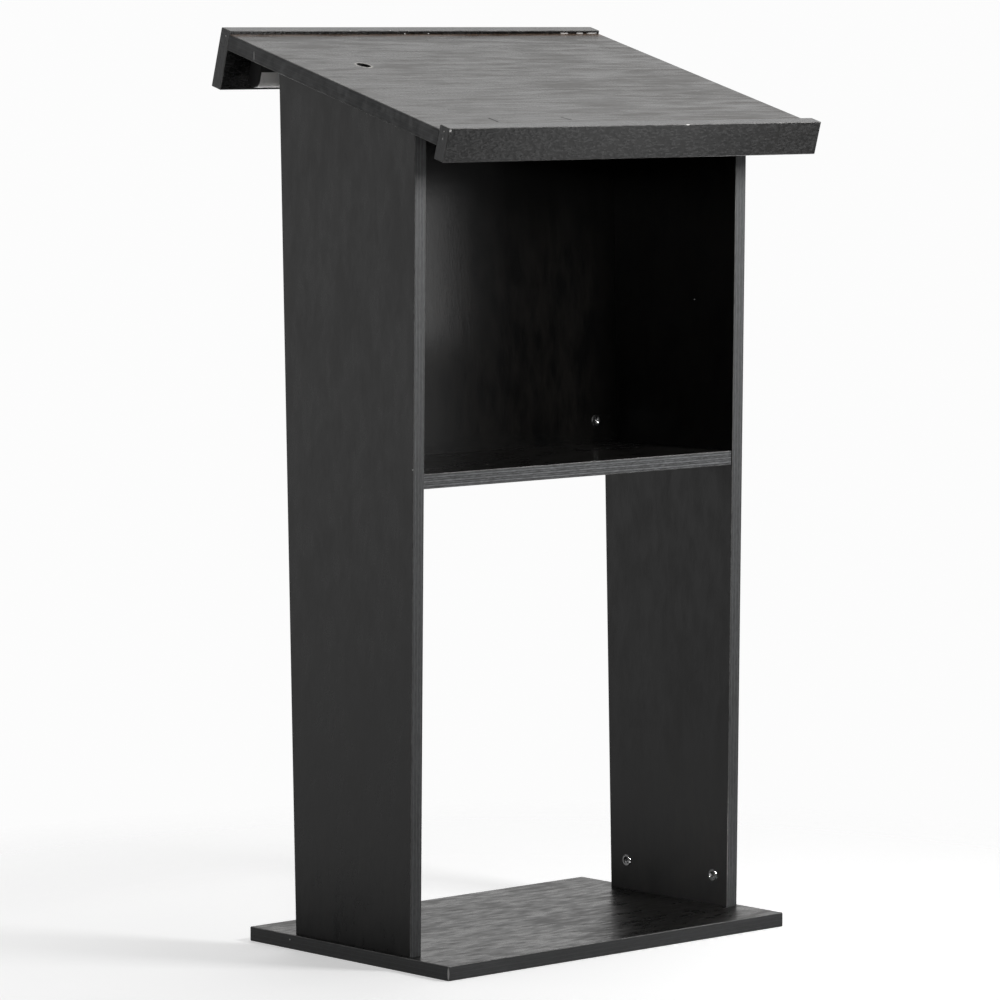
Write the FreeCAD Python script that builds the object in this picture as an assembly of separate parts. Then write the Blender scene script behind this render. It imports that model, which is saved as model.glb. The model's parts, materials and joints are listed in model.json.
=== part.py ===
"""Lectern of stained plywood boards with knock-down fittings and a slim lamp behind its fascia.

Millimetres. +Z is up, the speaker stands on the -Y side, the audience sits on the +Y side.
The origin is the centre of the base plate's underside.
"""
import FreeCAD, Part
import math
import os

from FreeCAD import Placement, Rotation, Vector

# Boards of the body
board = 19.0
arris = 0.8
base_width = 600.0
base_depth = 396.0
panel_inset = 6.5
foot_setback = 81.5
foot_depth = 228.0
front_lean = 0.67
back_lean = 1.41
panel_front_height = 1080.0
shelf_height = 619.0
shelf_setback = 2.0
front_panel_setback = 7.5

# Desk top, measured along its slope, with its two edge strips
desk_board = 21.0
desk_slope = 15.8
desk_width = 657.0
desk_front_overhang = 82.5
desk_back_overhang = 65.0
book_stop_lip = 6.0
book_stop_drop = 17.5
fascia_lip = 4.5
fascia_drop = 54.0
mic_hole_diameter = 19.0
mic_hole_from_left = 109.0
mic_hole_from_fascia = 145.0

# Cam locks and the bolts that they pull
cam_diameter = 15.0
cam_floor = 4.5
cam_rim = 0.8
cam_rim_thickness = 0.9
cam_reach = 40.0
cam_fit = 0.15
base_cam_front_margin = 28.0
base_cam_back_margin = 32.0
front_cam_above_shelf = 30.0
bolt_diameter = 7.0
bolt_thread_diameter = 5.0
bolt_thread_length = 11.0
bolt_fit = 0.5
pilot_fit = 0.1

# Loose splines in grooves across the glued joints
spline_thickness = 6.0
spline_width = 16.0
spline_stop = 25.0
spline_glue_gap = 0.5

# Lamp tube and lampholders
tube_diameter = 16.0
tube_glass = 0.8
tube_clearance = 1.3
tube_cap_length = 10.0
tube_gap = 0.5
pin_diameter = 2.35
pin_length = 7.0
pin_spacing = 4.75
pin_swing_clearance = 0.6
holder_width = 13.0
holder_length = 15.5
holder_back = 7.5

# Lamp casing
lamp_length = 587.0
lamp_fascia_gap = 10.0
housing_height = 20.3
housing_wall = 1.2
tongue_height = 3.6
diffuser_side = 12.7
diffuser_wall = 1.2
casing_fit = 0.15
end_cap_thickness = 3.0
ballast_length = 190.0
ballast_width = 14.0
ballast_height = 11.0

# Lamp clips and their screws
clip_thickness = 1.0
clip_length = 16.0
clip_arm = 14.0
clip_tab = 13.0
clip_spacing = 360.0
clip_screw_diameter = 3.5
clip_screw_grip = 14.0
clip_screw_head_diameter = 7.0
clip_screw_head_height = 2.2

# Lamp switch and cable entry
switch_from_end = 40.0
switch_length = 13.0
switch_width = 9.0
switch_depth = 9.0
rocker_gap = 0.6
rocker_pivot_depth = 2.5
rocker_pivot_diameter = 2.0
rocker_pivot_fit = 0.1
rocker_proud = 1.4
rocker_dip = 0.9
rocker_throw = 18.0
grommet_bore = 6.5
grommet_wall = 1.5
grommet_lip = 1.2

# Directions and places worked out from the sizes above
right = Vector(1, 0, 0)
slope = math.radians(desk_slope)
along = Vector(0, math.cos(slope), math.sin(slope))
up = Vector(0, -math.sin(slope), math.cos(slope))
front_tilt = math.tan(math.radians(front_lean))
back_tilt = math.tan(math.radians(back_lean))
panel_up = Vector(0, back_tilt, 1).normalize()
panel_inward = Vector(0, -1, back_tilt).normalize()
outer_x = base_width / 2 - panel_inset
inner_x = outer_x - board
foot_front_y = foot_setback - base_depth / 2
foot_back_y = foot_front_y + foot_depth
shelf_top = shelf_height + board
front_panel_inset = front_panel_setback + board * math.hypot(1, back_tilt)
cam_depth = board - cam_floor

# Lamp sections and depths, measured square to the desk's underside and down from it
lamp_half = tube_diameter / 2 + tube_clearance + diffuser_wall
tongue_half = lamp_half - diffuser_wall - casing_fit
housing_bottom = clip_thickness + housing_height
housing_middle = clip_thickness + housing_height / 2
tongue_bottom = housing_bottom + tongue_height
tube_depth = housing_bottom + diffuser_side
inside_length = lamp_length - 2 * end_cap_thickness
tube_length = inside_length - 2 * (holder_length + tube_gap)
switch_x = lamp_length / 2 - switch_from_end
rocker_radius = switch_length / 2 - rocker_gap


def front_edge_y(z):
    return foot_front_y - (z - board) * front_tilt


def back_edge_y(z):
    return foot_back_y + (z - board) * back_tilt


panel_front_top = Vector(0, front_edge_y(panel_front_height), panel_front_height)
desk_origin = panel_front_top - along * desk_front_overhang


def desk_underside_z(y):
    return desk_origin.z + (y - desk_origin.y) * math.tan(slope)


def back_line_top(inset):
    """Point where a line parallel to the panels' back edges, inset from them, meets the desk top."""
    y_at_base = foot_back_y - inset
    rise = (desk_underside_z(y_at_base) - board) / (1 - back_tilt * math.tan(slope))
    return Vector(0, y_at_base + rise * back_tilt, board + rise)


panel_back_top = back_line_top(0)
panel_top_length = (panel_back_top - panel_front_top).Length
desk_depth = desk_front_overhang + panel_top_length + desk_back_overhang


def on_desk(x, distance, depth):
    """Point at x, a distance up the slope from the book stop, a depth below the desk's underside."""
    return desk_origin + right * x + along * distance - up * depth


def prism(points, direction):
    return Part.Face(Part.makePolygon(points + [points[0]])).extrude(direction)


def rod(origin, direction, diameter, length):
    return Part.makeCylinder(diameter / 2, length, origin, direction)


def pair(distance):
    return (-distance / 2, distance / 2)


def gather(fittings, key):
    return [fitting[key] for fitting in fittings]


def eased(solid, chosen):
    """Break the arrises of a board whose two end points satisfy the given rule."""
    return solid.makeChamfer(arris, [e for e in solid.Edges if chosen(*[v.Point for v in e.Vertexes])])


def cam_fitting(origin, out, toward):
    """Cam lock let into a face, its bolt out through the board's edge, and the holes for both."""
    facing = Vector(0, 0, 1)
    centre = facing * (-board / 2)
    floor = facing * -cam_depth
    mouth = bolt_diameter + 2 * bolt_fit
    cam = rod(floor, facing, cam_diameter - 2 * cam_fit, cam_depth)
    cam = cam.fuse(rod(Vector(), facing, cam_diameter + 2 * cam_rim, cam_rim_thickness)).removeSplitter()
    cam = cam.cut(Part.makeBox(cam_diameter, mouth, mouth, centre - Vector(mouth, mouth, mouth) / 2))
    bolt = rod(centre, right, bolt_diameter, cam_reach)
    bolt = bolt.fuse(rod(centre + right * cam_reach, right, bolt_thread_diameter, bolt_thread_length))
    bore = rod(floor, facing, cam_diameter, cam_depth).fuse(rod(centre, right, mouth, cam_reach))
    pilot = rod(centre + right * cam_reach, right, bolt_thread_diameter + 2 * pilot_fit, bolt_thread_length)
    pieces = {"cam": cam, "bolt": bolt.removeSplitter(), "own": bore, "mate": pilot}
    place = Placement(origin, Rotation(toward, out.cross(toward), out, "ZXY"))
    return {name: solid.transformed(place.toMatrix()) for name, solid in pieces.items()}


def slab(middle, run, length, across, width, thickness):
    """Flat bar about a middle point, along one direction and as wide as given across another."""
    corner = middle - run * (length / 2) - across * (width / 2) - run.cross(across) * (thickness / 2)
    outline = [corner, corner + run * length, corner + run * length + across * width, corner + across * width]
    return prism(outline, run.cross(across) * thickness)


def spline_fitting(middle, run, joint_length, across):
    """Loose spline across a joint, and the stopped groove for it that is cut in both boards."""
    length = joint_length - 2 * spline_stop
    gap = 2 * spline_glue_gap
    return {
        "spline": slab(middle, run, length, across, spline_width, spline_thickness),
        "groove": slab(middle, run, length + gap, across, spline_width + gap, spline_thickness),
    }


def base_cam_fittings(side):
    z = board + cam_reach
    ys = (front_edge_y(z) + base_cam_front_margin, back_edge_y(z) - base_cam_back_margin)
    return [cam_fitting(Vector(side * inner_x, y, z), right * -side, Vector(0, 0, -1)) for y in ys]


def shelf_spline_fitting(side):
    front = front_edge_y(shelf_height) + shelf_setback
    back = back_edge_y(shelf_height) - front_panel_inset
    middle = Vector(side * inner_x, (front + back) / 2, shelf_height + board / 2)
    return spline_fitting(middle, Vector(0, 1, 0), back - front, right)


def front_cam_fitting(side):
    x = side * (inner_x - cam_reach)
    foot = Vector(x, back_edge_y(shelf_top) - front_panel_inset, shelf_top)
    return cam_fitting(foot + panel_up * front_cam_above_shelf, panel_inward, right * side)


def desk_spline_fitting(side):
    middle = on_desk(side * (inner_x + board / 2), desk_front_overhang + panel_top_length / 2, 0)
    return spline_fitting(middle, along, panel_top_length, up)


def front_spline_fitting():
    top_edges = [back_line_top(inset) for inset in (front_panel_setback, front_panel_inset)]
    return spline_fitting((top_edges[0] + top_edges[1]) / 2, right, 2 * inner_x, up)


def rail_spline_fitting(distance):
    return spline_fitting(on_desk(0, distance, -desk_board / 2), right, desk_width, along)


def make_base_plate(holes):
    plate = Part.makeBox(base_width, base_depth, board, Vector(-base_width / 2, -base_depth / 2, 0))
    return eased(plate, lambda a, b: True).cut(holes)


def make_side_panel(side, holes):
    x = right * (-outer_x if side < 0 else inner_x)
    foot = [Vector(0, foot_back_y, board), Vector(0, foot_front_y, board)]
    outline = [x + p for p in foot + [panel_front_top, panel_back_top]]
    panel = prism(outline, right * board)
    return eased(panel, lambda a, b: abs(a.z - b.z) > foot_depth).cut(holes)


def make_front_panel(holes):
    """Board between the side panels, parallel to their back edges, that covers the shelf's back edge."""
    ys = [back_edge_y(shelf_height) - inset for inset in (front_panel_inset, front_panel_setback)]
    bottom = [Vector(0, y, shelf_height) for y in ys]
    top = [back_line_top(front_panel_setback), back_line_top(front_panel_inset)]
    return prism([p - right * inner_x for p in bottom + top], right * 2 * inner_x).cut(holes)


def make_shelf(holes):
    front_y = front_edge_y(shelf_height) + shelf_setback
    outline = [Vector(-inner_x, front_y, shelf_height)]
    outline += [Vector(-inner_x, back_edge_y(z) - front_panel_inset, z) for z in (shelf_height, shelf_top)]
    outline += [Vector(-inner_x, front_y, shelf_top)]
    shelf = prism(outline, right * 2 * inner_x)
    return eased(shelf, lambda a, b: abs(a.x - b.x) > inner_x and max(a.y, b.y) < front_y + arris).cut(holes)


def make_desk_top(holes):
    corner = on_desk(-desk_width / 2, 0, 0)
    run = along * desk_depth
    thick = up * desk_board
    plate = prism([corner, corner + run, corner + run + thick, corner + thick], right * desk_width)
    plate = eased(plate, lambda a, b: abs((a - b).dot(along)) > desk_depth / 2)
    hole_place = on_desk(mic_hole_from_left - desk_width / 2, desk_depth - mic_hole_from_fascia, 0)
    return plate.cut(holes + [rod(hole_place, up, mic_hole_diameter, desk_board)])


def make_rail(distance, direction, lip, drop, holes):
    """Strip of board across one end of the desk top, square to it: a lip above, a skirt below."""
    corner = on_desk(-desk_width / 2, distance, drop)
    thick = direction * board
    tall = up * (drop + desk_board + lip)
    strip = prism([corner, corner + thick, corner + thick + tall, corner + tall], right * desk_width)
    return eased(strip, lambda a, b: True).cut(holes)


def lamp_point(x, across, depth):
    """Point at x, across from the lamp's middle towards the fascia, a depth below the desk."""
    return on_desk(x, desk_depth - lamp_fascia_gap - lamp_half + across, depth)


def lamp_bar(x, length, half_width, top, bottom):
    """Rectangular bar along the lamp, between two depths."""
    corners = ((-half_width, top), (half_width, top), (half_width, bottom), (-half_width, bottom))
    return prism([lamp_point(x, across, depth) for across, depth in corners], right * length)


def lamp_trough(x, length, half_width, top):
    """Bar along the lamp with straight sides and a half-round bottom centred on the tube."""
    left, right_hand = lamp_point(x, -half_width, tube_depth), lamp_point(x, half_width, tube_depth)
    lowest = lamp_point(x, 0, tube_depth + half_width)
    corners = [right_hand, lamp_point(x, half_width, top), lamp_point(x, -half_width, top), left]
    edges = [Part.LineSegment(a, b).toShape() for a, b in zip(corners, corners[1:])]
    edges.append(Part.Arc(left, lowest, right_hand).toShape())
    return Part.Face(Part.Wire(edges)).extrude(right * length)


def switch_block(half_length, half_width, start, length):
    """Block in line with the switch, from a place across the lamp towards the fascia."""
    corners = ((-1, -1), (1, -1), (1, 1), (-1, 1))
    points = [lamp_point(switch_x + a * half_length, start, housing_middle + b * half_width)
              for a, b in corners]
    return prism(points, along * length)


def make_lamp_housing():
    """Box-section extrusion with a tongue that the diffuser clips over, and a window for the switch."""
    x = -inside_length / 2
    outside = lamp_bar(x, inside_length, lamp_half, clip_thickness, housing_bottom)
    outside = outside.fuse(lamp_bar(x, inside_length, tongue_half, housing_bottom, tongue_bottom))
    floor = tongue_bottom - housing_wall
    cavity = lamp_bar(x, inside_length, lamp_half - housing_wall, clip_thickness + housing_wall,
                      housing_bottom - housing_wall)
    cavity = cavity.fuse(lamp_bar(x, inside_length, tongue_half - housing_wall, housing_middle, floor))
    window = switch_block(switch_length / 2, switch_width / 2, -lamp_half, housing_wall)
    return outside.removeSplitter().cut([cavity.removeSplitter(), window])


def make_lamp_diffuser():
    """Opal trough with straight sides and a half-round bottom, closed at its ends by the end caps."""
    x = -inside_length / 2
    outside = lamp_trough(x, inside_length, lamp_half, housing_bottom)
    return outside.cut(lamp_trough(x, inside_length, lamp_half - diffuser_wall, housing_bottom))


def make_lamp_end_cap(side):
    """Moulded cap of the lamp's whole section, over the ends of the housing and the diffuser."""
    x = inside_length / 2 if side > 0 else -lamp_length / 2
    return lamp_trough(x, end_cap_thickness, lamp_half, clip_thickness)


def make_lamp_holder(side):
    """Lampholder against an end cap: a round socket where the pins turn, open below to let them in."""
    x = inside_length / 2 - holder_length if side > 0 else -inside_length / 2
    body = lamp_trough(x, holder_length, holder_width / 2, tongue_bottom)
    mouth = side * (inside_length / 2 - holder_length)
    socket_depth = holder_length - holder_back
    swing = pin_spacing + pin_diameter + 2 * pin_swing_clearance
    socket = rod(lamp_point(mouth, 0, tube_depth), right * side, swing, socket_depth)
    slot_half = pin_diameter / 2 + pin_swing_clearance
    slot_x = min(mouth, mouth + side * socket_depth)
    slot = lamp_bar(slot_x, socket_depth, slot_half, tube_depth, tube_depth + holder_width)
    return body.cut([socket, slot])


def make_lamp_tube():
    length = tube_length - 2 * tube_cap_length
    start = lamp_point(-length / 2, 0, tube_depth)
    glass = rod(start, right, tube_diameter, length)
    return glass.cut(rod(start, right, tube_diameter - 2 * tube_glass, length))


def make_tube_caps():
    """Metal caps on the tube's ends, each with two contact pins lying level when locked."""
    caps = []
    for side in (-1, 1):
        face = lamp_point(side * tube_length / 2, 0, tube_depth)
        cap = rod(face, right * -side, tube_diameter, tube_cap_length)
        pins = [rod(face + along * s, right * side, pin_diameter, pin_length) for s in pair(pin_spacing)]
        caps.append(cap.fuse(pins).removeSplitter())
    return Part.makeCompound(caps)


def make_lamp_ballast():
    floor = tongue_bottom - housing_wall
    return lamp_bar(-ballast_length / 2, ballast_length, ballast_width / 2, floor - ballast_height, floor)


def clip_screw_fitting(x):
    """Flat-headed wood screw through a clip's tab, with the hole that it makes."""
    seat = lamp_point(x, -lamp_half - clip_thickness - clip_tab / 2, clip_thickness)
    length = clip_thickness + clip_screw_grip
    head = rod(seat, -up, clip_screw_head_diameter, clip_screw_head_height)
    screw = head.fuse(rod(seat, up, clip_screw_diameter, length)).removeSplitter()
    return {"screw": screw, "hole": rod(seat, up, clip_screw_diameter + 2 * pilot_fit, length)}


def make_lamp_clips(screws):
    """Sprung steel saddles that grip the housing's sides, each with a tab for its screw."""
    out = lamp_half + clip_thickness
    far = out + clip_tab
    outline = [(-far, 0), (out, 0), (out, clip_arm), (lamp_half, clip_arm), (lamp_half, clip_thickness),
               (-lamp_half, clip_thickness), (-lamp_half, clip_arm), (-out, clip_arm), (-out, clip_thickness),
               (-far, clip_thickness)]
    clips = []
    for x in pair(clip_spacing):
        clip = prism([lamp_point(x - clip_length / 2, a, d) for a, d in outline], right * clip_length)
        clips.append(clip.cut(gather(screws, "hole")))
    return Part.makeCompound(clips)


def rocker_pin(diameter, height):
    pivot = lamp_point(switch_x, rocker_pivot_depth - lamp_half, housing_middle)
    return rod(pivot - up * height / 2, up, diameter, height)


def make_switch_body():
    """Open box behind the housing's window, with the rocker's pivot pin across it."""
    near = housing_wall - lamp_half
    half_length = switch_length / 2
    half_width = switch_width / 2
    block = switch_block(half_length + housing_wall, half_width + housing_wall, near, switch_depth)
    pocket = switch_block(half_length, half_width, near, switch_depth - housing_wall)
    return block.cut(pocket).fuse(rocker_pin(rocker_pivot_diameter, switch_width)).removeSplitter()


def make_switch_rocker():
    """Rocker bounded by a round about its pivot, dished in the middle, stored tipped to off."""
    height = switch_width - 2 * rocker_gap
    pivot = lamp_point(switch_x, rocker_pivot_depth - lamp_half, housing_middle)
    crest = rocker_pivot_depth + rocker_proud
    outline = [(-rocker_radius, -rocker_pivot_depth), (rocker_radius, -rocker_pivot_depth),
               (rocker_radius, crest), (0, crest - rocker_dip), (-rocker_radius, crest)]
    bar = prism([pivot + right * a - along * b - up * height / 2 for a, b in outline], up * height)
    rocker = bar.common(rocker_pin(2 * rocker_radius, height))
    rocker = rocker.cut(rocker_pin(rocker_pivot_diameter + 2 * rocker_pivot_fit, height))
    rocker.rotate(pivot, up, -rocker_throw / 2)
    return rocker


def make_cable_grommet():
    """Rubber bush in the right end cap with a lip outside, and the seat that it fills."""
    start = lamp_point(inside_length / 2, 0, housing_middle)
    outside = start + right * end_cap_thickness
    seat = rod(start, right, grommet_bore + 2 * grommet_wall, end_cap_thickness)
    lip = rod(outside, right, grommet_bore + 2 * (grommet_wall + grommet_lip), grommet_lip)
    bore = rod(start, right, grommet_bore, end_cap_thickness + grommet_lip)
    return seat.fuse(lip).removeSplitter().cut(bore), seat


def make_parts():
    """Every named piece of the lectern, in place."""
    sides = (-1, 1)
    base_cams = {side: base_cam_fittings(side) for side in sides}
    front_cams = {side: front_cam_fitting(side) for side in sides}
    shelf_splines = {side: shelf_spline_fitting(side) for side in sides}
    panel_splines = {side: desk_spline_fitting(side) for side in sides}
    front_spline = front_spline_fitting()
    stop_spline = rail_spline_fitting(0)
    fascia_spline = rail_spline_fitting(desk_depth)
    screws = [clip_screw_fitting(x) for x in pair(clip_spacing)]
    all_base_cams = base_cams[-1] + base_cams[1]
    desk_splines = [*panel_splines.values(), front_spline]
    desk_grooves = gather(desk_splines + [stop_spline, fascia_spline], "groove")
    front_holes = gather(front_cams.values(), "own") + [front_spline["groove"]]
    grommet, grommet_seat = make_cable_grommet()

    def panel_holes(side):
        grooves = gather([shelf_splines[side], panel_splines[side]], "groove")
        return gather(base_cams[side], "own") + [front_cams[side]["mate"]] + grooves

    return {
        "base_plate": make_base_plate(gather(all_base_cams, "mate")),
        "left_side_panel": make_side_panel(-1, panel_holes(-1)),
        "right_side_panel": make_side_panel(1, panel_holes(1)),
        "base_cams": Part.makeCompound(gather(all_base_cams, "cam")),
        "base_cam_bolts": Part.makeCompound(gather(all_base_cams, "bolt")),
        "shelf": make_shelf(gather(shelf_splines.values(), "groove")),
        "shelf_splines": Part.makeCompound(gather(shelf_splines.values(), "spline")),
        "front_panel": make_front_panel(front_holes),
        "front_panel_cams": Part.makeCompound(gather(front_cams.values(), "cam")),
        "front_panel_cam_bolts": Part.makeCompound(gather(front_cams.values(), "bolt")),
        "desk_top": make_desk_top(desk_grooves + gather(screws, "hole")),
        "desk_splines": Part.makeCompound(gather(desk_splines, "spline")),
        "book_stop": make_rail(0, -along, book_stop_lip, book_stop_drop, stop_spline["groove"]),
        "book_stop_spline": stop_spline["spline"],
        "fascia": make_rail(desk_depth, along, fascia_lip, fascia_drop, fascia_spline["groove"]),
        "fascia_spline": fascia_spline["spline"],
        "lamp_clips": make_lamp_clips(screws),
        "lamp_clip_screws": Part.makeCompound(gather(screws, "screw")),
        "lamp_housing": make_lamp_housing(),
        "lamp_left_end_cap": make_lamp_end_cap(-1),
        "lamp_right_end_cap": make_lamp_end_cap(1).cut(grommet_seat),
        "lamp_cable_grommet": grommet,
        "lamp_ballast": make_lamp_ballast(),
        "lamp_switch_body": make_switch_body(),
        "lamp_switch_rocker": make_switch_rocker(),
        "lamp_left_holder": make_lamp_holder(-1),
        "lamp_right_holder": make_lamp_holder(1),
        "lamp_tube": make_lamp_tube(),
        "lamp_tube_caps": make_tube_caps(),
        "lamp_diffuser": make_lamp_diffuser(),
    }


os.makedirs("parts", exist_ok=True)
for name, shape in make_parts().items():
    shape.exportStep("parts/" + name + ".step")
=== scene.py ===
import json
import math

import bmesh
import bpy
from mathutils import Matrix, Vector


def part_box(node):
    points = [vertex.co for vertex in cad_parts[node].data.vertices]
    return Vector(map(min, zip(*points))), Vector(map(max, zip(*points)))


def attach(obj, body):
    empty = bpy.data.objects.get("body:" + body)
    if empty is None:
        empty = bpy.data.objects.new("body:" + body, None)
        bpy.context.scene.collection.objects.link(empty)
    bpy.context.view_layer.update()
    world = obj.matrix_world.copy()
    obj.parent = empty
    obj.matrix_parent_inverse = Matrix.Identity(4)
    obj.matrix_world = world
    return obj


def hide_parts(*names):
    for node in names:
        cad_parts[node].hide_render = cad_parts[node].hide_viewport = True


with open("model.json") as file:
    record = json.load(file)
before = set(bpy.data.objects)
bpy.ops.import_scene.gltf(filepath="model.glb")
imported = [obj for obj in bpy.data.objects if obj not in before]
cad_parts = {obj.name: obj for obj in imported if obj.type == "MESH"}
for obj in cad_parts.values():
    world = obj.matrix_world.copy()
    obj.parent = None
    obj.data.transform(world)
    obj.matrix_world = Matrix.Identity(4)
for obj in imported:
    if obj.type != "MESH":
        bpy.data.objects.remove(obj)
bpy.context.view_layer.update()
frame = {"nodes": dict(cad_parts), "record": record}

# Base plate
# One flat board of birch plywood, stained black and lacquered to a satin sheen. It lies on the floor and
# carries both side panels, which cam bolts draw down on it. Its sawn edges show seven plies through thin
# stain.
RIGHT = Vector((1, 0, 0))
UP = Vector((0, 0, 1))
base_low, base_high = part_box("base_plate")
board_thickness = base_high.z
plies = 7


def node(tree, kind, sockets=None, **options):
    """Adds a node with its options, and links or sets the sockets that are given."""
    made = tree.nodes.new(kind)
    for option, value in options.items():
        setattr(made, option, value)
    for socket, value in (sockets or {}).items():
        if isinstance(value, bpy.types.NodeSocket):
            tree.links.new(value, made.inputs[socket])
        else:
            made.inputs[socket].default_value = value
    return made


def maths(tree, operation, first, second=0.0):
    """One operation on numbers."""
    return node(tree, "ShaderNodeMath", {0: first, 1: second}, operation=operation).outputs[0]


def vector_maths(tree, operation, first, second=(0, 0, 0)):
    """One operation on vectors. A length, a distance and a dot product come out as a number."""
    made = node(tree, "ShaderNodeVectorMath", {0: first, 1: second}, operation=operation)
    gives_number = operation in ("LENGTH", "DISTANCE", "DOT_PRODUCT")
    return made.outputs["Value" if gives_number else "Vector"]


def axes_of(tree, vector):
    """The three numbers of a vector."""
    return node(tree, "ShaderNodeSeparateXYZ", {0: vector}).outputs


def measured_from(tree, vector, turn, middle=(0, 0, 0)):
    """A place or a direction, measured from a middle along axes that are turned."""
    sockets = {"Vector": vector, "Location": middle, "Rotation": turn}
    return node(tree, "ShaderNodeMapping", sockets, vector_type="TEXTURE").outputs[0]


def ramp(tree, value, low, high, to_low=0.0, to_high=1.0):
    """A value between low and high, brought to the same share of another range and kept in it."""
    sockets = {"Value": value, "From Min": low, "From Max": high, "To Min": to_low, "To Max": to_high}
    return node(tree, "ShaderNodeMapRange", sockets).outputs[0]


def blend_colours(tree, share, first, second):
    """The first colour with a share of the second."""
    return node(tree, "ShaderNodeMix", {0: share, 6: first, 7: second}, data_type="RGBA").outputs[2]


def grey(value, warmth=0.0):
    """A grey whose red is raised and whose blue is lowered by its warmth."""
    return (value * (1 + warmth), value, value * (1 - warmth), 1)


def fibres(tree, place, along, across, detail=6.0, roughness=0.6):
    """Noise drawn out along the first axis: so many streaks to the metre along it and across it."""
    drawn = node(tree, "ShaderNodeMapping", {"Vector": place, "Scale": (along, across, across)})
    sockets = {"Vector": drawn.outputs[0], "Scale": 1.0, "Detail": detail, "Roughness": roughness}
    return node(tree, "ShaderNodeTexNoise", sockets).outputs[0]


def new_material(name):
    """An empty finish: the material, its nodes and its shader."""
    material = bpy.data.materials.new(name)
    material.use_nodes = True
    return material, material.node_tree, material.node_tree.nodes["Principled BSDF"]


def dress(tree, shader, colour, roughness, relief):
    """Links a finish's colour, its roughness and its relief, which is a height in metres."""
    bump = node(tree, "ShaderNodeBump", {"Strength": 1.0, "Distance": 1.0, "Height": relief})
    tree.links.new(colour, shader.inputs["Base Color"])
    tree.links.new(roughness, shader.inputs["Roughness"])
    tree.links.new(bump.outputs[0], shader.inputs["Normal"])


def lie_of_board(tree, grain, face, middle):
    """Places on a board, its grain the first axis and its face the third, and its faces and arrises."""
    turn = Matrix((grain, face.cross(grain), face)).transposed().to_euler()
    given = node(tree, "ShaderNodeTexCoord").outputs
    lie = measured_from(tree, given["Object"], turn, middle)
    facing = vector_maths(tree, "ABSOLUTE", measured_from(tree, given["Normal"], turn))
    along, across, out = axes_of(tree, facing)
    on_face = ramp(tree, out, 0.8, 0.95)
    squarest = maths(tree, "MAXIMUM", maths(tree, "MAXIMUM", along, across), out)
    on_arris = ramp(tree, squarest, 0.8, 0.92, 1, 0)
    return lie, on_face, on_arris


def black_stain(tree, lie, stain, streaky, waves):
    """The stain on a face: its colour, where it lies thin in streaks and clouds, and the wood's pores."""
    streaks = fibres(tree, lie, waves[0], waves[1], 5)
    clouds = fibres(tree, lie, 6, 14, 4)
    pores = fibres(tree, lie, 45, 1100, 3)
    clouded = maths(tree, "MULTIPLY", clouds, 0.3)
    thin = ramp(tree, maths(tree, "ADD", maths(tree, "MULTIPLY", streaks, 0.7), clouded), 0.4, 0.6)
    thick_stain = grey(stain * 0.5)
    thin_stain = grey(stain * (1 + 0.5 * streaky), 0.08)
    in_pores = ramp(tree, pores, 0.55, 0.75, 0, 0.6)
    colour = blend_colours(tree, thin, thick_stain, thin_stain)
    colour = blend_colours(tree, in_pores, colour, grey(stain * 0.3))
    return colour, thin, pores


def sawn_edge(tree, lie, thickness, edge, banding):
    """A sawn edge's colour: torn fibres, every other ply lighter, and dark glue lines that wander."""
    middle_ply = plies / 2
    wander = 0.12
    start = ramp(tree, fibres(tree, lie, 14, 90, 3), 0.3, 0.7, middle_ply - wander, middle_ply + wander)
    through = axes_of(tree, lie)[2]
    ply = maths(tree, "ADD", maths(tree, "MULTIPLY", through, plies / thickness), start)
    cross_ply = maths(tree, "MODULO", maths(tree, "FLOOR", ply), 2.0)
    off_middle = maths(tree, "ABSOLUTE", maths(tree, "SUBTRACT", maths(tree, "FRACT", ply), 0.5))
    in_glue = ramp(tree, off_middle, 0.3, 0.46, 0, banding)
    torn = ramp(tree, fibres(tree, lie, 110, 700, 4), 0.35, 0.65)
    lightness = maths(tree, "MULTIPLY", torn, 0.65)
    lightness = maths(tree, "ADD", maths(tree, "MULTIPLY", cross_ply, 0.35), lightness)
    dark_ply = grey(edge * (1 - 0.7 * banding))
    light_ply = grey(edge * (1 + 0.9 * banding), -0.03)
    glue = grey(edge * 0.12)
    return blend_colours(tree, in_glue, blend_colours(tree, lightness, dark_ply, light_ply), glue)


def round_chip(place, radius):
    """A chip as wide as it is high."""
    return place, (radius, radius, radius)


def chipped(tree, colour, knocks):
    """A colour with pale chips knocked out of it, each a place and its half sizes."""
    fresh_wood = grey(0.75, 0.02)
    place = node(tree, "ShaderNodeTexCoord").outputs["Object"]
    for spot, half_sizes in knocks:
        away = vector_maths(tree, "DIVIDE", vector_maths(tree, "SUBTRACT", place, spot), half_sizes)
        in_chip = ramp(tree, vector_maths(tree, "LENGTH", away), 0.7, 1, 1, 0)
        colour = blend_colours(tree, in_chip, colour, fresh_wood)
    return colour


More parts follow.
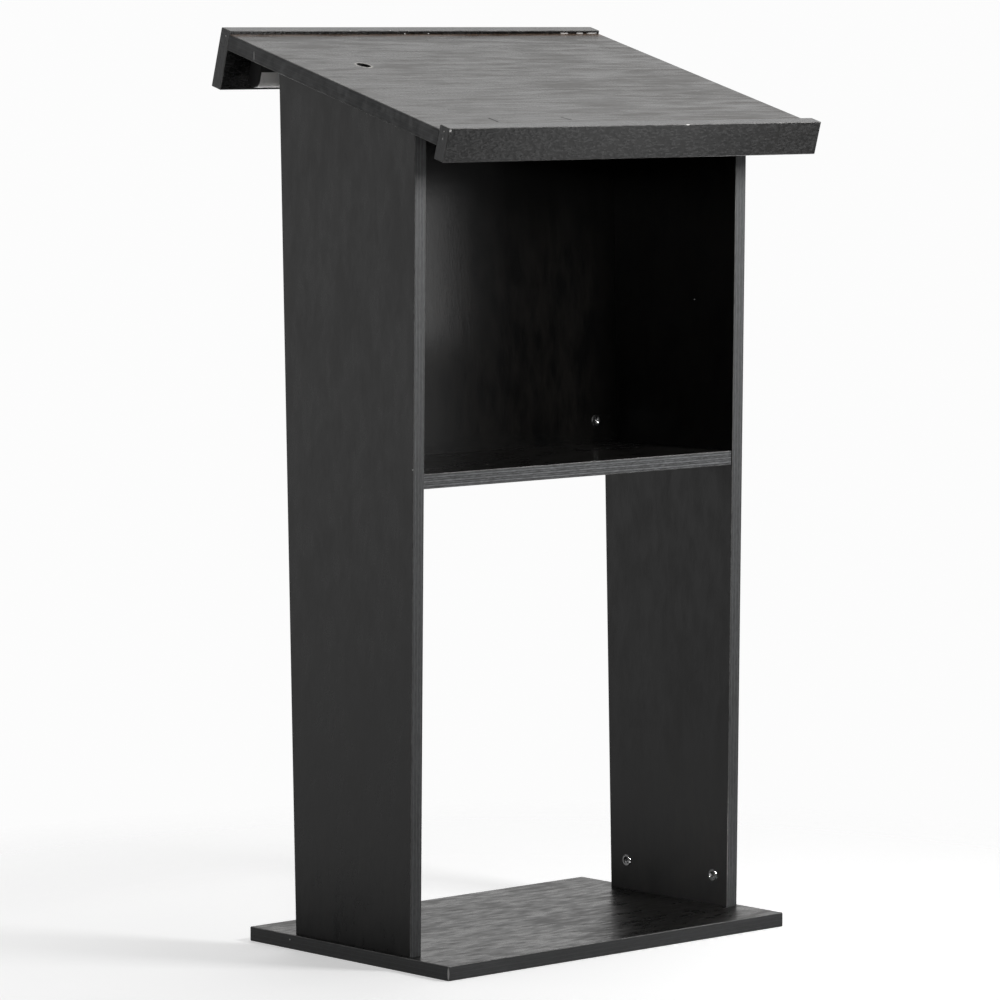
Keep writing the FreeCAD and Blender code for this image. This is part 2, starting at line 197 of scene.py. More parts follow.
def stained_plywood(name, grain, face, middle, thickness=board_thickness, matt=0.3, stain=0.006,
                    streaky=1.0, edge=0.1, banding=0.2, sawn=0.25, worn=0.3, waves=(22, 60), ripple=0.0001,
                    figure=0.0, knocks=()):
    """Black-stained, lacquered plywood with its grain and its faces turned as given.

    Matt is how rough the lacquer is, and sawn how much rougher the edges are. Stain and edge say how
    light the faces and the sawn edges are, streaky how uneven the stain is, banding how far the plies
    show, and worn how far the arrises are lightened, partly as rubbed wood and partly as a painted
    highlight along them. Waves says how many streaks to the metre lie along and across the grain, and
    ripple how high they stand in the lacquer. Figure is the height of finer scales, where the wood has
    them; their crests are painted lighter as a painted sheen. Returns the material, and the place on the
    board, the colour and the roughness for further marks.
    """
    grit_height = 0.00004
    pore_depth = 0.00002
    rubbed_wood_and_arris_highlight = grey(0.5, 0.02)
    material, tree, shader = new_material(name)
    lie, on_face, on_arris = lie_of_board(tree, grain, face, middle)
    colour, thin, pores = black_stain(tree, lie, stain, streaky, waves)
    grit = maths(tree, "MULTIPLY", fibres(tree, lie, 300, 450, 2), grit_height)
    relief = maths(tree, "SUBTRACT", grit, maths(tree, "MULTIPLY", pores, pore_depth))
    swell = fibres(tree, lie, waves[0], waves[1], 2.5)
    swell_height = ramp(tree, on_face, 0, 1, ripple * 0.1, ripple)
    relief = maths(tree, "ADD", relief, maths(tree, "MULTIPLY", swell, swell_height))
    if figure:
        scales = fibres(tree, lie, 160, 380, 3, 0.5)
        # Painted sheen: the figure's crests are coloured lighter where the lacquer's ripples would catch
        # the light.
        crest_painted_sheen = ramp(tree, scales, 0.4, 0.7)
        colour = blend_colours(tree, crest_painted_sheen, colour, grey(stain + 0.028))
        relief = maths(tree, "ADD", relief, maths(tree, "MULTIPLY", scales, figure))

    colour = blend_colours(tree, on_face, sawn_edge(tree, lie, thickness, edge, banding), colour)
    # Arrises lightened in patches: partly rubbed wood, partly a painted highlight along the arrises.
    rubbed = ramp(tree, fibres(tree, lie, 60, 60, 5), 0.35, 0.65, worn * 0.3, worn)
    colour = blend_colours(tree, maths(tree, "MULTIPLY", on_arris, rubbed), colour, rubbed_wood_and_arris_highlight)
    colour = chipped(tree, colour, knocks)

    uneven = min(0.12 * streaky, 0.5)
    lacquer = ramp(tree, thin, 0, 1, matt * (1 - uneven), matt * (1 + uneven))
    roughness = maths(tree, "ADD", lacquer, ramp(tree, on_face, 0, 1, sawn, 0))
    dress(tree, shader, colour, roughness, relief)
    return material, lie, colour, roughness


def give_finish(piece, material):
    """Gives one piece of the frame its material."""
    mesh = frame["nodes"][piece].data
    mesh.materials.clear()
    mesh.materials.append(material)


def middle_of(piece):
    """The middle of a piece's box."""
    low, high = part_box(piece)
    return (low + high) / 2


base_knocks = [
    round_chip((base_low.x, 0.1159, 0.0124), 0.0012),
    ((base_low.x, base_low.y + 0.0007, board_thickness / 2), (0.0015, 0.0015, 0.009)),
]
base_stain = stained_plywood("base_stain", RIGHT, UP, middle_of("base_plate"), matt=0.33, stain=0.004,
                             streaky=2.5, edge=0.09, worn=0.5, waves=(30, 90), ripple=0.0013,
                             knocks=base_knocks)[0]
give_finish("base_plate", base_stain)

# Side panels
# Two tapering plywood boards with upright grain that stand on the base plate and carry the desk top.
# They are sawn to the desk's slope at the top, and the left one has a chip in its front arris by the shelf.
panel_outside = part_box("left_side_panel")[0].x
panel_matt = {"left_side_panel": 0.3, "right_side_panel": 0.36}
panel_knocks = {
    "left_side_panel": [round_chip((panel_outside, -0.123, 0.6451), 0.0011)],
    "right_side_panel": [],
}
for panel, knocks in panel_knocks.items():
    panel_stain = stained_plywood(panel + "_stain", UP, RIGHT, middle_of(panel), matt=panel_matt[panel],
                                  banding=0.5, ripple=0.0002, knocks=knocks)[0]
    give_finish(panel, panel_stain)

# Base cams and their bolts
# Zinc cam locks let into the side panels' inner faces near the floor. Each turns a quarter turn with a
# cross-head driver and pulls on the head of a steel bolt that is screwed up through the base plate.
cam_head = 0.0166
cam_sizes = {
    "Head Diameter": cam_head,
    "Head Height": 0.0009,
    "Head Bevel": 0.0012,
    "Dish Radius": 0.0095,
    "Dish Depth": 0.0017,
    "Body Diameter": 0.0147,
    "Body Length": 0.0145,
    "Recess Span": 0.0086,
    "Recess Width": 0.0022,
    "Recess Depth": 0.0045,
}


def cross_head_tree():
    """A tree that sets one cross-recessed head on a body at each point, facing the point's own way."""
    round_sides = 40
    dish_sides = 48
    dish_rings = 32
    tree = bpy.data.node_groups.new("cross_head_fitting", "GeometryNodeTree")
    tree.is_modifier = True
    tree.interface.new_socket("Geometry", in_out="INPUT", socket_type="NodeSocketGeometry")
    for size in cam_sizes:
        tree.interface.new_socket(size, in_out="INPUT", socket_type="NodeSocketFloat")
    tree.interface.new_socket("Seed", in_out="INPUT", socket_type="NodeSocketInt")
    tree.interface.new_socket("Material", in_out="INPUT", socket_type="NodeSocketMaterial")
    tree.interface.new_socket("Geometry", in_out="OUTPUT", socket_type="NodeSocketGeometry")
    given = node(tree, "NodeGroupInput").outputs

    def half(size):
        return maths(tree, "MULTIPLY", given[size], 0.5)

    def lifted(mesh, height):
        up = node(tree, "ShaderNodeCombineXYZ", {"Z": height}).outputs[0]
        return node(tree, "GeometryNodeTransform", {"Geometry": mesh, "Translation": up}).outputs[0]

    radius = half("Head Diameter")
    face_radius = maths(tree, "SUBTRACT", radius, given["Head Bevel"])
    sockets = {"Vertices": round_sides, "Radius Top": face_radius, "Radius Bottom": radius,
               "Depth": given["Head Height"]}
    head = node(tree, "GeometryNodeMeshCone", sockets).outputs["Mesh"]
    sockets = {"Vertices": round_sides, "Radius": half("Body Diameter"), "Depth": given["Body Length"]}
    body = node(tree, "GeometryNodeMeshCylinder", sockets).outputs["Mesh"]
    body = lifted(body, maths(tree, "MULTIPLY", given["Body Length"], -0.5))
    whole = node(tree, "GeometryNodeMeshBoolean", operation="UNION", solver="EXACT")
    for mesh in (head, body):
        tree.links.new(mesh, whole.inputs["Mesh 2"])

    sockets = {"Segments": dish_sides, "Rings": dish_rings, "Radius": given["Dish Radius"]}
    dish = node(tree, "GeometryNodeMeshUVSphere", sockets).outputs["Mesh"]
    hollows = [lifted(dish, maths(tree, "SUBTRACT", given["Dish Radius"], given["Dish Depth"]))]
    twice_deep = maths(tree, "MULTIPLY", given["Recess Depth"], 2)
    for across, along in (("Recess Width", "Recess Span"), ("Recess Span", "Recess Width")):
        size = node(tree, "ShaderNodeCombineXYZ", {0: given[across], 1: given[along], 2: twice_deep})
        hollows.append(node(tree, "GeometryNodeMeshCube", {"Size": size.outputs[0]}).outputs["Mesh"])
    sockets = {"Mesh 1": whole.outputs["Mesh"]}
    cut = node(tree, "GeometryNodeMeshBoolean", sockets, operation="DIFFERENCE", solver="EXACT")
    for mesh in hollows:
        tree.links.new(lifted(mesh, given["Head Height"]), cut.inputs["Mesh 2"])

    way = node(tree, "GeometryNodeInputNamedAttribute", {"Name": "facing"}, data_type="FLOAT_VECTOR")
    aim = node(tree, "FunctionNodeAlignRotationToVector", {"Vector": way.outputs[0]}, axis="Z").outputs[0]
    sockets = {2: 0.0, 3: math.pi, "Seed": given["Seed"]}
    turn = node(tree, "FunctionNodeRandomValue", sockets, data_type="FLOAT").outputs[1]
    turn = node(tree, "ShaderNodeCombineXYZ", {"Z": turn}).outputs[0]
    sockets = {0: aim, 1: node(tree, "FunctionNodeEulerToRotation", {0: turn}).outputs[0]}
    aim = node(tree, "FunctionNodeRotateRotation", sockets, rotation_space="LOCAL").outputs[0]
    sockets = {"Points": given["Geometry"], "Instance": cut.outputs["Mesh"], "Rotation": aim}
    placed = node(tree, "GeometryNodeInstanceOnPoints", sockets).outputs[0]
    real = node(tree, "GeometryNodeRealizeInstances", {0: placed}).outputs[0]
    finished = node(tree, "GeometryNodeSetMaterial", {"Geometry": real, "Material": given["Material"]})
    node(tree, "NodeGroupOutput", {"Geometry": finished.outputs[0]})
    return tree


cross_heads = cross_head_tree()


def fit_cross_heads(name, seats, ways, sizes, seed, material, replaced):
    """Cross-headed fittings on these seats, each facing its own way, as one mesh in a piece's stead."""
    points = bpy.data.meshes.new(name)
    points.from_pydata(seats, [], [])
    facing = points.attributes.new("facing", "FLOAT_VECTOR", "POINT")
    facing.data.foreach_set("vector", [part for way in ways for part in way])
    piece = bpy.data.objects.new(name, points)
    bpy.context.scene.collection.objects.link(piece)
    fitting = piece.modifiers.new("fitting", "NODES")
    fitting.node_group = cross_heads
    settings = dict(sizes, Seed=seed, Material=material)
    for item in cross_heads.interface.items_tree:
        if item.name in settings:
            fitting[item.identifier] = settings[item.name]
    made = bpy.data.meshes.new_from_object(piece.evaluated_get(bpy.context.evaluated_depsgraph_get()))
    piece.modifiers.clear()
    piece.data = made
    made.name = name
    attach(piece, "lectern")
    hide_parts(replaced)


def metal(name, colour, matt, grain=900, depth=0.000015):
    """Bare metal, duller in patches, with a cast or drawn grain of so many specks to the metre."""
    material, tree, shader = new_material(name)
    place = node(tree, "ShaderNodeTexCoord").outputs["Object"]
    bright = ramp(tree, fibres(tree, place, 120, 120, 3), 0.35, 0.65)
    dull_colour = tuple(part * 0.6 for part in colour[:3]) + (1,)
    roughness = ramp(tree, bright, 0, 1, matt + 0.12, matt)
    relief = maths(tree, "MULTIPLY", fibres(tree, place, grain, grain, 4), depth)
    shader.inputs["Metallic"].default_value = 1.0
    dress(tree, shader, blend_colours(tree, bright, dull_colour, colour), roughness, relief)
    return material


cams_low, cams_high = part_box("base_cams")
cam_rows = (cams_low.y + cam_head / 2, cams_high.y - cam_head / 2)
cam_height = (cams_low.z + cams_high.z) / 2
panel_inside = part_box("right_side_panel")[0].x
cam_seats = [(side * panel_inside, row, cam_height) for side in (-1, 1) for row in cam_rows]
cam_ways = [(-side, 0, 0) for side in (-1, 1) for row in cam_rows]
cam_seed = 4
zinc = metal("cast_zinc", grey(0.85), matt=0.1)
fit_cross_heads("base_cam_locks", cam_seats, cam_ways, cam_sizes, cam_seed, zinc, "base_cams")
bright_steel = metal("bright_steel", grey(0.55), matt=0.22, grain=1500, depth=0.00001)
give_finish("base_cam_bolts", bright_steel)

# Shelf and its splines
# A plywood board between the side panels, held in their grooves by loose splines of raw ply. Its front edge
# is sawn and only thinly stained, so that the plies stand out as pale lines.
shelf_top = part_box("shelf")[1].z
shelf_knocks = [((-0.1117, -0.0621, shelf_top), (0.0012, 0.0016, 0.0012))]
shelf_stain = stained_plywood("shelf_stain", RIGHT, UP, middle_of("shelf"), edge=0.13, banding=0.9,
                              worn=0.6, knocks=shelf_knocks)[0]
give_finish("shelf", shelf_stain)


def raw_plywood(name):
    """Bare birch ply: pale straw with fine streaks."""
    dark_straw = (0.42, 0.28, 0.15, 1)
    light_straw = (0.6, 0.44, 0.26, 1)
    streak_height = 0.00006
    material, tree, shader = new_material(name)
    place = node(tree, "ShaderNodeTexCoord").outputs["Object"]
    streaks = ramp(tree, fibres(tree, place, 12, 300), 0.3, 0.7)
    roughness = ramp(tree, streaks, 0, 1, 0.55, 0.75)
    relief = maths(tree, "MULTIPLY", streaks, streak_height)
    dress(tree, shader, blend_colours(tree, streaks, dark_straw, light_straw), roughness, relief)
    return material


raw_birch = raw_plywood("raw_birch")
give_finish("shelf_splines", raw_birch)

# Front panel with its cams and bolts
# The board towards the audience, let in between the side panels above the shelf and leaning with their back
# edges. Two cam locks low on its inner face pull it against bolts in the side panels.
panel_lean = math.radians(1.41)
panel_out = Vector((0, math.cos(panel_lean), -math.sin(panel_lean)))
panel_up = Vector((0, math.sin(panel_lean), math.cos(panel_lean)))
front_stain = stained_plywood("front_panel_stain", panel_up, panel_out, middle_of("front_panel"), matt=0.12,
                              stain=0.007, streaky=0.3, ripple=0.00002)[0]
give_finish("front_panel", front_stain)
front_cams_low, front_cams_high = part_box("front_panel_cams")
front_cam_height = (front_cams_low.z + front_cams_high.z) / 2
front_cam_side = front_cams_high.x - cam_head / 2
inner_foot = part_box("front_panel")[0]
inner_face = inner_foot.y + math.tan(panel_lean) * (front_cam_height - inner_foot.z)
front_cam_seats = [(side * front_cam_side, inner_face, front_cam_height) for side in (-1, 1)]
front_cam_ways = [tuple(-panel_out)] * 2
front_cam_seed = 9
fit_cross_heads("front_panel_cam_locks", front_cam_seats, front_cam_ways, cam_sizes, front_cam_seed, zinc,
                "front_panel_cams")
give_finish("front_panel_cam_bolts", bright_steel)

# Nail head on the right side panel
# A small nail of polished steel, driven into the compartment's right wall until its domed head lies on the
# stain.
nail_width = 0.0036
nail_dome = 0.0015
nail_seat = Vector((panel_inside, -0.0493, 0.8385))
dome = bmesh.new()
bmesh.ops.create_uvsphere(dome, u_segments=20, v_segments=12, radius=nail_width / 2)
bmesh.ops.scale(dome, vec=(nail_dome / nail_width * 2, 1, 1), verts=dome.verts)
bmesh.ops.translate(dome, vec=nail_seat, verts=dome.verts)
nail_mesh = bpy.data.meshes.new("side_panel_nail_head")
dome.to_mesh(nail_mesh)
dome.free()
nail_mesh.polygons.foreach_set("use_smooth", [True] * len(nail_mesh.polygons))
nail_mesh.materials.append(metal("polished_nail", grey(0.9), matt=0.1, grain=1500, depth=0.000005))
nail = bpy.data.objects.new("side_panel_nail_head", nail_mesh)
bpy.context.scene.collection.objects.link(nail)
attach(nail, "lectern")

# Desk top and its splines
# A sloping plywood board with its grain across the lectern, set on the side panels on splines of raw ply.
# One hole for a microphone stand is bored through it near its upper left corner; its bore is painted near
# black as painted shade. Use has rubbed the stain off the hole's rim and left two dark scratches by the
# book stop, and the stain turns brown in patches along the fascia.
slope = math.radians(15.8)
desk_up = Vector((0, -math.sin(slope), math.cos(slope)))
desk_along = Vector((0, math.cos(slope), math.sin(slope)))
desk_thickness = 0.021
desk_low, desk_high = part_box("desk_top")
desk_length = (desk_high.y - desk_low.y - desk_thickness * math.sin(slope)) / math.cos(slope)
desk_end = desk_length / 2
mic_hole = next(mount for mount in frame["record"]["mounts"] if mount["name"] == "mic_hole")
hole_radius = mic_hole["dims"]["r_mm"] / 1000
bore_reach = math.hypot(hole_radius, desk_thickness) + 0.001
rim_worn = 0.0015
rim_fade = 0.004
fascia_rub = 0.0045
fascia_rub_fade = 0.0165
scratch_roughness = 0.5
scratches = [
    ((-0.2096, -0.1697), (-0.208, -0.1891), 0.0035),
    ((-0.0875, -0.1716), (-0.0785, -0.1864), 0.003),
]


def on_slope(right, along, out):
    """A place by its ways right, up the slope and out of the board, from the middle of the desk board."""
    return middle_of("desk_top") + RIGHT * right + desk_along * along + desk_up * out


def scratched(tree, on_desk):
    """Where the scratches are: each a start and an end, right and up the slope, and a width."""
    share = 0.0
    for start, end, width in scratches:
        run = Vector(end) - Vector(start)
        middle = (Vector(start) + run / 2).to_3d()
        away = measured_from(tree, on_desk, (0, 0, math.atan2(run.y, run.x)), middle)
        along, across = axes_of(tree, vector_maths(tree, "ABSOLUTE", away))[:2]
        in_length = ramp(tree, along, run.length * 0.4, run.length * 0.5, 1, 0)
        in_width = ramp(tree, across, width * 0.3, width * 0.5, 1, 0)
        share = maths(tree, "MAXIMUM", share, maths(tree, "MULTIPLY", in_length, in_width))
    return share


def used_desk():
    """The desk's stain with the marks of use, a brown band along the fascia, and painted shade in the
    hole's bore.
    """
    rubbed_rim = (0.6, 0.57, 0.52, 1)
    fascia_band_brown = (0.24, 0.15, 0.1, 1)
    scratch_black_and_bore_shade = grey(0.002)
    knocks = [(on_slope(desk_low.x, 0.1585, -0.0025), (0.001, 0.0006, 0.007))]
    material, on_desk, colour, roughness = stained_plywood(
        "desk_stain", RIGHT, desk_up, middle_of("desk_top"), desk_thickness, matt=0.3, stain=0.019,
        streaky=4, worn=0.5, waves=(10, 95), ripple=0.0007, knocks=knocks)
    tree = material.node_tree
    shader = tree.nodes["Principled BSDF"]

    outward = node(tree, "ShaderNodeTexCoord").outputs["Normal"]
    facing_up = vector_maths(tree, "DOT_PRODUCT", outward, desk_up)
    patchy = ramp(tree, fibres(tree, on_desk, 300, 300, 3), 0.35, 0.6)
    patchy = maths(tree, "MULTIPLY", patchy, ramp(tree, facing_up, 0.4, 0.6))
    hole_place = Vector(mic_hole["pos_m"]) + desk_up * (desk_thickness / 2) - middle_of("desk_top")
    hole_place = Matrix((RIGHT, desk_along, desk_up)) @ hole_place
    from_hole = vector_maths(tree, "DISTANCE", on_desk, hole_place)
    on_rim = ramp(tree, from_hole, hole_radius + rim_worn, hole_radius + rim_fade, 1, 0)
    colour = blend_colours(tree, maths(tree, "MULTIPLY", on_rim, patchy), colour, rubbed_rim)
    # Painted shade: the bore's walls and the underside near the hole are painted near black, as shade
    # inside the hole.
    near_hole = ramp(tree, from_hole, bore_reach, bore_reach + 0.002, 1, 0)
    painted_bore_shade = maths(tree, "MULTIPLY", near_hole, ramp(tree, facing_up, 0.1, 0.3, 1, 0))
    colour = blend_colours(tree, painted_bore_shade, colour, scratch_black_and_bore_shade)

    up_slope = axes_of(tree, on_desk)[1]
    # A brown band, in patches, on the desk's face along the fascia.
    by_fascia = ramp(tree, up_slope, desk_end - fascia_rub_fade, desk_end - fascia_rub, 0, 0.8)
    colour = blend_colours(tree, maths(tree, "MULTIPLY", by_fascia, patchy), colour, fascia_band_brown)
    in_scratch = scratched(tree, on_desk)
    colour = blend_colours(tree, in_scratch, colour, scratch_black_and_bore_shade)
    roughness = maths(tree, "ADD", roughness, maths(tree, "MULTIPLY", in_scratch, scratch_roughness))
    tree.links.new(colour, shader.inputs["Base Color"])
    tree.links.new(roughness, shader.inputs["Roughness"])
    return material


give_finish("desk_top", used_desk())
give_finish("desk_splines", raw_birch)

# Book stop and fascia with their splines
# Plywood strips glued on splines across the desk top's lower and upper ends, square to it. The stop's lip
# keeps books from sliding off, and the deeper fascia hides the lamp. Their faces show a wavy figure through
# the stain, whose crests are painted lighter as a painted sheen, and their arrises are chipped.
rail_end = desk_low.x
desk_face = desk_thickness / 2
fascia_lip = 0.0045
foot_chips = [(-0.0277, 0.0012), (0.0145, 0.0012), (0.263, 0.0085), (0.2918, 0.0075), (0.3151, 0.011)]
foot_chip_height = 0.0008
rail_knocks = {
    "book_stop": [
        round_chip(on_slope(rail_end, -0.2228, 0.0101), 0.0011),
        round_chip(on_slope(rail_end, -0.2225, 0.0005), 0.0013),
        round_chip(on_slope(rail_end, -0.2131, 0.0098), 0.0015),
        (on_slope(rail_end + 0.0017, -0.232, 0.0137), (0.002, 0.0015, 0.002)),
        (on_slope(0.083, -0.2318, 0.0161), (0.0035, 0.0013, 0.0013)),
    ],
    "fascia": [
        round_chip(on_slope(rail_end, 0.2203, 0.0064), 0.0012),
        round_chip(on_slope(-0.0523, desk_end + 0.0024, desk_face + fascia_lip), 0.0014),
        round_chip(on_slope(-0.1232, desk_end + 0.0013, desk_face + fascia_lip), 0.0012),
    ],
}
for right, half_length in foot_chips:
    place = on_slope(right, desk_end, desk_face + foot_chip_height)
    rail_knocks["fascia"].append((place, (half_length, 0.001, 0.0009)))
for rail, knocks in rail_knocks.items():
    rail_stain = stained_plywood(rail + "_stain", RIGHT, desk_along, middle_of(rail), matt=0.22,
                                 stain=0.003, edge=0.05, sawn=0.02, worn=0.5, figure=0.0004,
                                 knocks=knocks)[0]
    give_finish(rail, rail_stain)
    give_finish(rail + "_spline", raw_birch)

# Lamp casing, end caps and clips
# A slim undershelf lamp behind the fascia: a folded steel housing enamelled black, with moulded black end
# caps, sprung steel clips that hold it up under the desk, and their cross-headed screws.
screw_head = 0.007
screw_sizes = {
    "Head Diameter": screw_head,
    "Head Height": 0.0022,
    "Head Bevel": 0.0009,
    "Dish Radius": 0.05,
    "Dish Depth": 0.0001,
    "Body Diameter": 0.0035,
    "Body Length": 0.015,
    "Recess Span": 0.0042,
    "Recess Width": 0.0009,
    "Recess Depth": 0.0016,
}


def moulded(name, colour, matt, grain=1800, depth=0.000012, patchy=0.25):
    """Moulded plastic, rubber, glass or enamel: a fine grain in its skin, and faint patches."""
    material, tree, shader = new_material(name)
    place = node(tree, "ShaderNodeTexCoord").outputs["Object"]
    patches = ramp(tree, fibres(tree, place, 40, 40, 4), 0.3, 0.7)
    dim_colour = tuple(part * (1 - patchy) for part in colour[:3]) + (1,)
    roughness = ramp(tree, patches, 0, 1, matt, matt + 0.12)
    relief = maths(tree, "MULTIPLY", fibres(tree, place, grain, grain, 2), depth)
    dress(tree, shader, blend_colours(tree, patches, dim_colour, colour), roughness, relief)
    return material


give_finish("lamp_housing", moulded("black_enamel", grey(0.012), matt=0.3, grain=500, depth=0.000024))
black_plastic = moulded("black_plastic", grey(0.014), matt=0.42)
give_finish("lamp_left_end_cap", black_plastic)
give_finish("lamp_right_end_cap", black_plastic)
give_finish("lamp_cable_grommet", moulded("black_rubber", grey(0.018), matt=0.6, grain=900))
give_finish("lamp_clips", bright_steel)
screws_low, screws_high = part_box("lamp_clip_screws")
head_radius = screw_head / 2
head_face_y = screws_high.y - head_radius * math.cos(slope)
head_face_z = screws_low.z + head_radius * math.sin(slope)
under_head = Vector((0, head_face_y, head_face_z)) + desk_up * screw_sizes["Head Height"]
screw_seats = [tuple(under_head + RIGHT * side * (screws_high.x - head_radius)) for side in (-1, 1)]
screw_ways = [tuple(-desk_up)] * 2
screw_seed = 2
fit_cross_heads("lamp_clip_cross_screws", screw_seats, screw_ways, screw_sizes, screw_seed, bright_steel,
                "lamp_clip_screws")

# Lamp gear
# Inside the casing: a laminated ballast, a push-through rocker switch, and two lampholders of white
# plastic, in whose slots the tube's pins turn.
give_finish("lamp_ballast", metal("ballast_steel", grey(0.3), matt=0.4, grain=600, depth=0.00003))
give_finish("lamp_switch_body", black_plastic)
give_finish("lamp_switch_rocker", moulded("switch_plastic", grey(0.03), matt=0.3))
white_plastic = moulded("white_plastic", grey(0.75, 0.02), matt=0.35, grain=1500, depth=0.00001,
                        patchy=0.08)
give_finish("lamp_left_holder", white_plastic)
give_finish("lamp_right_holder", white_plastic)

# Lamp tube and diffuser
# A straight fluorescent tube with a white coating inside the glass and pressed metal caps, under a snap-on
# diffuser of opal plastic whose rounded edge hangs level with the fascia's bottom.
coated_glass = moulded("coated_glass", grey(0.82, 0.01), matt=0.08, grain=300, depth=0.000003, patchy=0.05)
give_finish("lamp_tube", coated_glass)
give_finish("lamp_tube_caps", metal("cap_metal", grey(0.7), matt=0.2, grain=1200, depth=0.00001))
opal_plastic = moulded("opal_plastic", grey(0.9, 0.02), matt=0.25, grain=700, depth=0.00001, patchy=0.1)
give_finish("lamp_diffuser", opal_plastic)

# Studio surround
# White walls far from the lectern, brighter or darker by direction. The side panels mirror the left wall,
# the desk and the base plate mirror the backdrop, and the book stop mirrors the low patch. The camera
# itself sees them as one even white.
world = bpy.data.worlds.new("white_surround")
bpy.context.scene.world = world
world.use_nodes = True
walls = world.node_tree
walls.nodes.clear()
outward = node(walls, "ShaderNodeTexCoord").outputs["Generated"]
height = axes_of(walls, outward)[2]
seen_white = 0.975
dim_room = 0.05


def wall(way, narrow, wide, brightness):
    """One side of the surround, fading out from the narrow to the wide cosine with its way."""
    towards = vector_maths(walls, "DOT_PRODUCT", outward, way)
    return maths(walls, "MULTIPLY", ramp(walls, towards, wide, narrow), brightness)


floor_sweep = maths(walls, "SUBTRACT", ramp(walls, height, -0.21, -0.06, 0.1, 1.0),
                    ramp(walls, height, -0.02, 0.14, 0.0, 0.91))
below_horizon = ramp(walls, height, -0.12, 0.0, 1.0, 0.0)
up_the_backdrop = ramp(walls, height, 0.0, 0.42, 0.66, 1.1)
left_wall = wall((-0.66, 0.75, 0), narrow=0.9, wide=0.3, brightness=floor_sweep)
low_patch = wall((0.88, -0.3, -0.37), narrow=0.99, wide=0.9, brightness=0.9)
far_floor = wall((0.67, 0.74, 0), narrow=0.9, wide=0.5, brightness=below_horizon)
backdrop = wall((0.9, 0.44, 0), narrow=0.97, wide=0.55, brightness=up_the_backdrop)
brightness = dim_room
for side in (left_wall, low_patch, far_floor):
    brightness = maths(walls, "ADD", side, brightness)
white_light = node(walls, "ShaderNodeBackground", {"Color": grey(1), "Strength": brightness})
warm_light = node(walls, "ShaderNodeBackground", {"Color": grey(1, 0.006), "Strength": backdrop})
mirrored = node(walls, "ShaderNodeAddShader", {0: white_light.outputs[0], 1: warm_light.outputs[0]})
seen = node(walls, "ShaderNodeBackground", {"Color": grey(1), "Strength": seen_white})
by_camera = node(walls, "ShaderNodeLightPath").outputs["Is Camera Ray"]
surround = node(walls, "ShaderNodeMixShader", {0: by_camera, 1: mirrored.outputs[0], 2: seen.outputs[0]})
node(walls, "ShaderNodeOutputWorld", {"Surface": surround.outputs[0]})

# Studio floor
# A sheet of matt white paper, a hair below the base plate, that takes the lectern's shadow and fades out
# into the surround. The lacquer mirrors it darker than it is seen.
floor_reach = 3.0
floor_level = -0.0003
floor_white = grey(0.9)
mirrored_floor = grey(0.25)
floor_glow = 0.47
fade_start = 0.45
fade_end = 1.2
corners = [(x * floor_reach, y * floor_reach, floor_level) for x, y in ((-1, -1), (1, -1), (1, 1), (-1, 1))]
floor_mesh = bpy.data.meshes.new("studio_floor")
floor_mesh.from_pydata(corners, [], [(0, 1, 2, 3)])
floor = bpy.data.objects.new("studio_floor", floor_mesh)
bpy.context.scene.collection.objects.link(floor)
paper, paper_tree, paper_shader = new_material("pale_floor")
floor_place = node(paper_tree, "ShaderNodeTexCoord").outputs["Object"]
from_lectern = vector_maths(paper_tree, "LENGTH", floor_place)
in_gloss = node(paper_tree, "ShaderNodeLightPath").outputs["Is Glossy Ray"]
paper_colour = blend_colours(paper_tree, in_gloss, floor_white, mirrored_floor)
paper_glow = ramp(paper_tree, in_gloss, 0, 1, floor_glow, 0)
paper_tree.links.new(paper_colour, paper_shader.inputs["Base Color"])
paper_tree.links.new(paper_glow, paper_shader.inputs["Emission Strength"])
paper_shader.inputs["Emission Color"].default_value = grey(1)
paper_shader.inputs["Roughness"].default_value = 0.9
clear = node(paper_tree, "ShaderNodeBsdfTransparent")
faded = ramp(paper_tree, from_lectern, fade_start, fade_end)
sockets = {0: faded, 1: paper_shader.outputs[0], 2: clear.outputs[0]}
fading = node(paper_tree, "ShaderNodeMixShader", sockets)
paper_tree.links.new(fading.outputs[0], paper_tree.nodes["Material Output"].inputs["Surface"])
floor_mesh.materials.append(paper)
floor.visible_diffuse = False

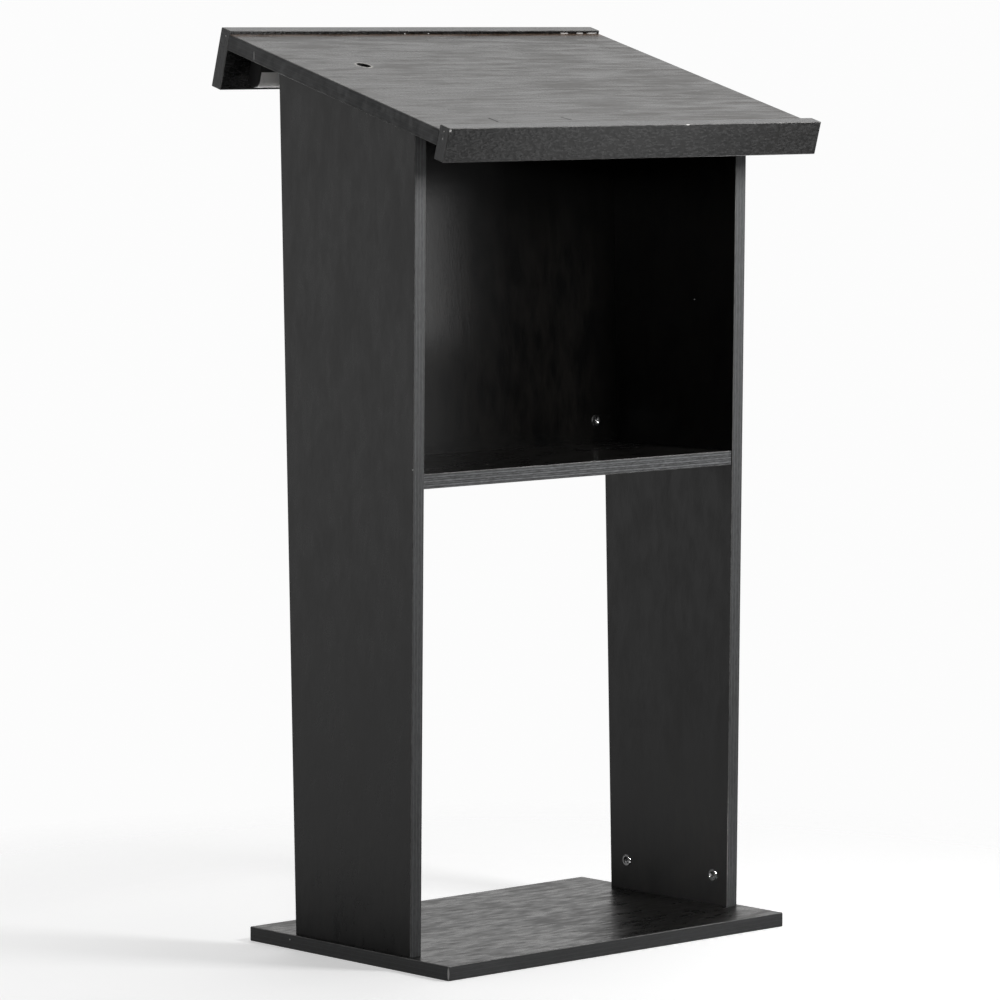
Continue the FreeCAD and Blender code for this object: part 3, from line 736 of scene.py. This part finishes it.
# Studio lights
# Soft boxes out of the camera's sight: a large one overhead, the key light on the speaker's right, two
# whose edges end the sheen on the front panel, and small ones for the overhang, the speaker's side and
# the cams.
near_cams = (panel_inside, -0.08, 0.07)


def soft_light(name, place, target, width, height, watts, spread=math.pi):
    """A rectangular studio light out of the camera's sight. A grid in front of it narrows its spread."""
    light = bpy.data.lights.new(name, "AREA")
    light.shape = "RECTANGLE"
    light.size = width
    light.size_y = height
    light.energy = watts
    light.spread = spread
    lamp = bpy.data.objects.new(name, light)
    lamp.location = place
    lamp.rotation_euler = (Vector(target) - Vector(place)).to_track_quat("-Z", "Y").to_euler()
    lamp.visible_camera = False
    bpy.context.scene.collection.objects.link(lamp)


soft_light("overhead", (0.8, 0.4, 3.3), (0, 0, 0), width=3.0, height=3.0, watts=34)
soft_light("key", (0.45, -1.15, 1.35), (0, -0.1, 0.8), width=0.35, height=0.35, watts=12)
soft_light("sheen", (0.601, -0.89, 0.878), (-0.066, -0.147, 0.878), width=0.35, height=0.235, watts=0.48)
soft_light("low_sheen", (0.601, -0.89, 0.55), (-0.066, -0.147, 0.55), width=0.35, height=0.42, watts=0.24)
soft_light("under_desk", (-0.62, 0.0, 0.72), (-0.31, 0.18, 1.13), width=0.2, height=0.2, watts=0.025,
           spread=math.radians(45))
soft_light("by_camera", (-2.0, -2.2, 1.35), (0, 0, 0.8), width=0.3, height=0.3, watts=5)
soft_light("cam_glint", (-0.785, -0.42, 0.5), near_cams, width=0.16, height=0.16, watts=0.09,
           spread=math.radians(14))

# Camera
# A long lens off the lectern's left front corner, level with the desk's upper end and tipped down a little,
# at the photograph's viewing angle.
camera_tip = math.radians(5.261)
camera_turn = math.radians(42.098)
camera_data = bpy.data.cameras.new("photograph_view")
camera_data.sensor_width = 36.0
camera_data.lens = 186.41
camera = bpy.data.objects.new("photograph_view", camera_data)
camera.location = (-4.5913, -5.0447, 1.2084)
camera.rotation_euler = (math.pi / 2 - camera_tip, 0, -camera_turn)
bpy.context.scene.collection.objects.link(camera)
bpy.context.scene.camera = camera
bpy.context.scene.view_settings.view_transform = "Standard"
